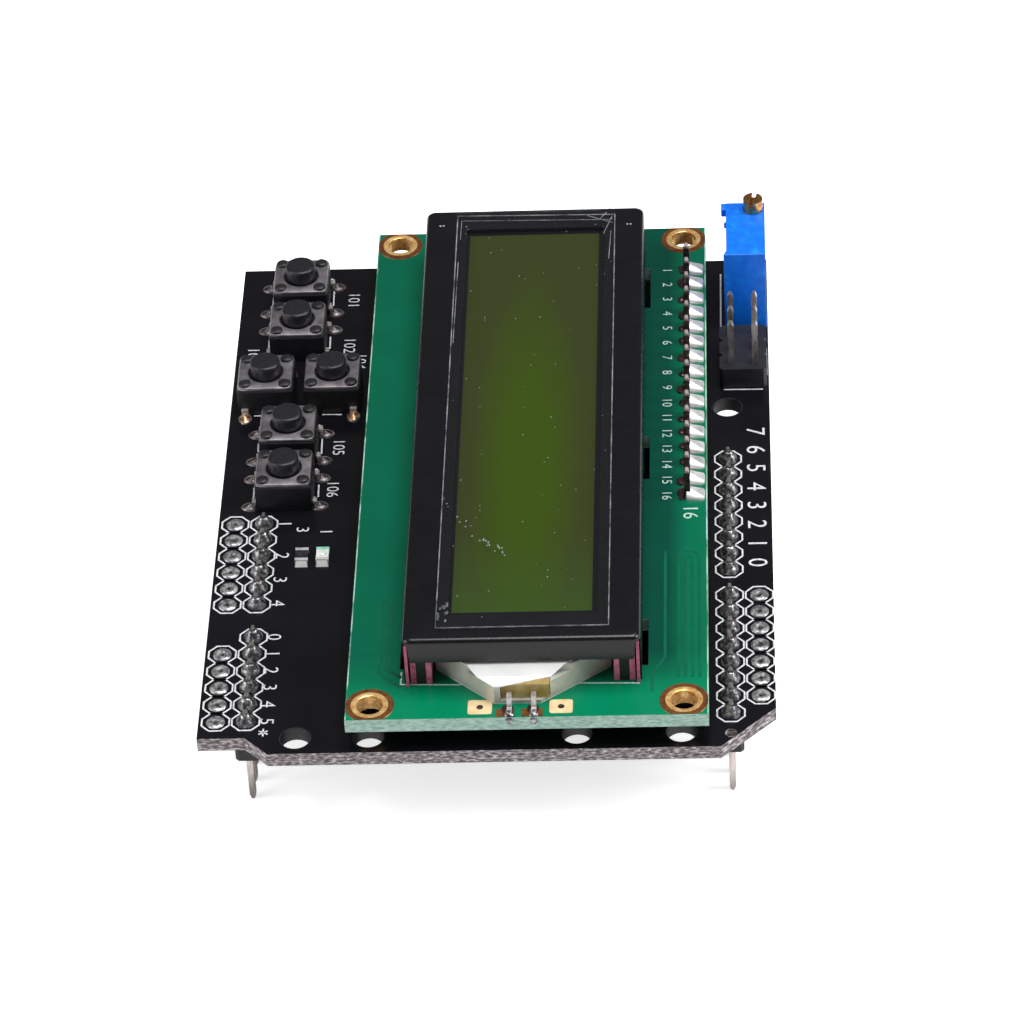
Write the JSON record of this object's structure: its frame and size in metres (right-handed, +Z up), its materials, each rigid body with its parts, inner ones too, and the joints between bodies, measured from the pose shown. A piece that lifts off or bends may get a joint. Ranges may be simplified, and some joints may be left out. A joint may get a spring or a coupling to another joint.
{
  "type": "character display module",
  "caption": "Two-line character display with its backlight and metal bezel, on a black plug-in carrier board with push buttons and a contrast trimmer.",
  "frame": {"origin": "middle of the footprint, at the level of the tips of the plug-in pins", "axes": "+Z up out of the display's face, +Y along the boards towards the trimmer, +X towards the display's pin row"},
  "size_m": [0.0576, 0.0794, 0.0215],
  "materials": {
    "black_board": "black solder mask over glass-fibre board",
    "green_board": "dark green solder mask over glass-fibre board",
    "header_plastic": "moulded black nylon",
    "blue_plastic": "moulded blue thermoplastic",
    "brass": "turned brass",
    "tinned_lead": "tinned copper alloy, satin",
    "tinned_pin": "square drawn pin, tinned",
    "solder": "bright solder fillet",
    "spring_steel": "thin spring steel",
    "lamp_lens": "clear resin over a white package",
    "ceramic": "glazed chip with tinned ends",
    "black_resin": "black epoxy",
    "bezel_paint": "steel sheet with satin black paint",
    "clear_film": "thin clear polyethylene film",
    "polariser": "yellow-green polarising film",
    "display_glass": "thin ground-edge glass pane",
    "elastomer": "layered silicone rubber",
    "white_film": "thin white film",
    "light_guide": "moulded translucent acrylic",
    "amber_package": "amber resin lamp",
    "button_plastic": "moulded black plastic",
    "button_steel": "stamped steel, satin",
    "button_cap": "moulded black plastic"
  },
  "bodies": {
    "module": {"analog_header_pins": "tinned_pin", "analog_header_strip": "header_plastic", "backlight_leads": "tinned_lead", "backlight_led": "amber_package", "backlight_transistor": "black_resin", "button_contacts": "spring_steel", "button_legs": "tinned_lead", "chip_blobs": "black_resin", "diffuser_film": "white_film", "digital_high_header_pins": "tinned_pin", "digital_high_header_strip": "header_plastic", "digital_low_header_pins": "tinned_pin", "digital_low_header_strip": "header_plastic", "down_button_base": "button_plastic", "down_button_cover": "button_steel", "front_glass": "display_glass", "front_polariser": "polariser", "header_solder_joints": "solder", "ladder_resistors": "ceramic", "lcd_bezel": "bezel_paint", "lcd_board": "green_board", "lcd_header_pins": "tinned_pin", "lcd_header_strip": "header_plastic", "lcd_solder_joints": "solder", "led_resistor": "ceramic", "left_button_base": "button_plastic", "left_button_cover": "button_steel", "left_zebra_strip": "elastomer", "light_guide": "light_guide", "main_board": "black_board", "power_header_pins": "tinned_pin", "power_header_strip": "header_plastic", "power_led": "lamp_lens", "programming_header_block": "header_plastic", "programming_header_pins": "tinned_pin", "protective_film": "clear_film", "rear_glass": "display_glass", "rear_polariser": "polariser", "reflector_film": "white_film", "reset_button_base": "button_plastic", "reset_button_cover": "button_steel", "right_button_base": "button_plastic", "right_button_cover": "button_steel", "right_zebra_strip": "elastomer", "select_button_base": "button_plastic", "select_button_cover": "button_steel", "trimmer_housing": "blue_plastic", "trimmer_leads": "tinned_lead", "underside_solder_joints": "solder", "up_button_base": "button_plastic", "up_button_cover": "button_steel"},
    "trimmer_screw": {"trimmer_screw": "brass"},
    "select_plunger": {"select_button_plunger": "button_cap"},
    "left_plunger": {"left_button_plunger": "button_cap"},
    "down_plunger": {"down_button_plunger": "button_cap"},
    "up_plunger": {"up_button_plunger": "button_cap"},
    "right_plunger": {"right_button_plunger": "button_cap"},
    "reset_plunger": {"reset_button_plunger": "button_cap"}
  },
  "joints": [
    {"name": "select_press", "type": "slide", "parent": "module", "child": "select_plunger", "axis": [0, 0, -1], "range_m": [0, 0.00025], "stiffness_N_per_m": 2000},
    {"name": "left_press", "type": "slide", "parent": "module", "child": "left_plunger", "axis": [0, 0, -1], "range_m": [0, 0.00025], "stiffness_N_per_m": 2000},
    {"name": "down_press", "type": "slide", "parent": "module", "child": "down_plunger", "axis": [0, 0, -1], "range_m": [0, 0.00025], "stiffness_N_per_m": 2000},
    {"name": "up_press", "type": "slide", "parent": "module", "child": "up_plunger", "axis": [0, 0, -1], "range_m": [0, 0.00025], "stiffness_N_per_m": 2000},
    {"name": "right_press", "type": "slide", "parent": "module", "child": "right_plunger", "axis": [0, 0, -1], "range_m": [0, 0.00025], "stiffness_N_per_m": 2000},
    {"name": "reset_press", "type": "slide", "parent": "module", "child": "reset_plunger", "axis": [0, 0, -1], "range_m": [0, 0.00025], "stiffness_N_per_m": 2000},
    {"name": "trimmer_turn", "type": "hinge", "parent": "module", "child": "trimmer_screw", "pos_m": [0.02739, 0.03497, 0.0201], "axis": [0, 0, 1], "continuous": true}
  ]
}
